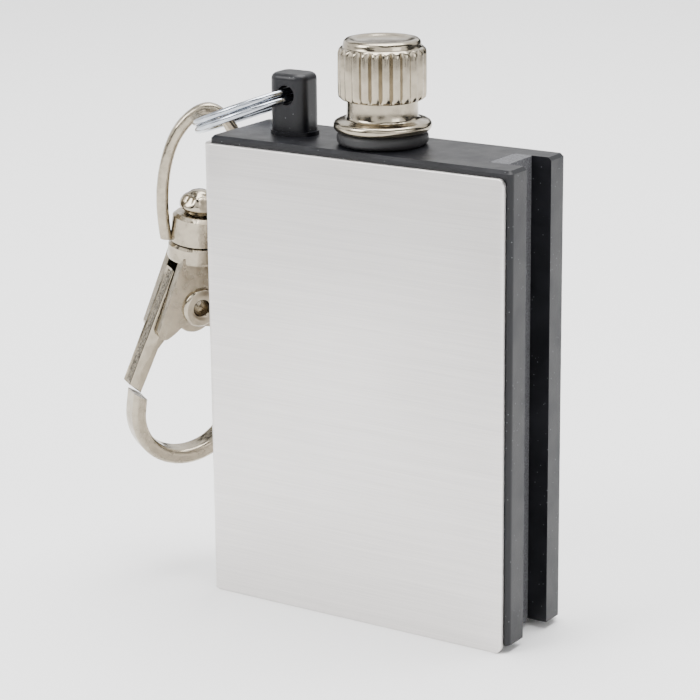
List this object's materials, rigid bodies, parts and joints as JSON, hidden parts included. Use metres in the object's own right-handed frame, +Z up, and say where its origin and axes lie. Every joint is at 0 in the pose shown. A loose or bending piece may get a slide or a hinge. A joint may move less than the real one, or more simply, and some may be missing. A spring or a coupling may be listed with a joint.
{
  "type": "flint spark lighter",
  "caption": "Pocket flint lighter: a fuel tank in a sheet-metal cover with a flint rod in its side groove, a screw-in knurled metal match, and a swivel snap hook on a split ring.",
  "frame": {"origin": "centre of the cover's footprint, on the plane the lighter stands on", "axes": "+X from the clasp side towards the flint rod, +Y from the front leaf to the back leaf of the cover, +Z up along the match"},
  "size_m": [0.0449, 0.0122, 0.0556],
  "materials": {
    "stainless": "brushed",
    "black_plastic": "moulded, satin",
    "ferro_rod": "coated, rough",
    "brass": "turned",
    "nickel": "nickel plate",
    "steel": "bright steel",
    "rubber": "matte",
    "cotton": "loose fibre",
    "wick": "braided glass fibre"
  },
  "bodies": {
    "casing": {"tank_casing": "black_plastic", "base_plate": "black_plastic", "cover_shell": "stainless", "flint_rod": "ferro_rod", "neck_bush": "brass", "fuel_wadding": "cotton"},
    "seal": {"o_ring": "rubber"},
    "stem": {"stem_tube": "steel"},
    "match": {"match_cap": "nickel", "cap_screw": "brass", "core_wire": "steel", "match_wick": "wick", "striker_tip": "steel"},
    "ring": {"split_ring": "steel"},
    "eye": {"swivel_eye": "nickel"},
    "hook": {"hook_body": "nickel", "swivel_rivet": "nickel", "pivot_rivet": "nickel", "gate_spring": "steel"},
    "gate": {"gate_lever": "nickel"}
  },
  "joints": [
    {"name": "match_pull", "type": "slide", "parent": "casing", "child": "seal", "axis": [0, 0, 1], "range_m": [0, 0.046]},
    {"name": "thread_rise", "type": "slide", "parent": "seal", "child": "stem", "axis": [0, 0, 1], "range_m": [0, 0.0032]},
    {"name": "cap_turn", "type": "hinge", "parent": "stem", "child": "match", "pos_m": [0.0004, 0, 0.05], "axis": [0, 0, 1], "range_deg": [0, 1445]},
    {"name": "ring_swing", "type": "hinge", "parent": "casing", "child": "ring", "pos_m": [-0.0094, 0, 0.0496], "axis": [0, 1, 0], "range_deg": [0, 75]},
    {"name": "eye_swing", "type": "hinge", "parent": "ring", "child": "eye", "pos_m": [-0.01963, 0, 0.04557], "axis": [0, 1, 0], "range_deg": [0, 30]},
    {"name": "hook_swivel", "type": "hinge", "parent": "eye", "child": "hook", "pos_m": [-0.02158, 0, 0.0336], "axis": [0.1507, 0, 0.9886], "continuous": true},
    {"name": "gate_open", "type": "hinge", "parent": "hook", "child": "gate", "pos_m": [-0.02237, 0.00026, 0.02745], "axis": [0.8586, -0.4957, -0.1309], "range_deg": [0, 32], "stiffness_Nm_per_rad": 0.004, "springref_deg": -20.05}
  ],
  "couplings": [
    {"joint": "cap_turn", "follows": "thread_rise", "rad_per_m": 7854}
  ]
}
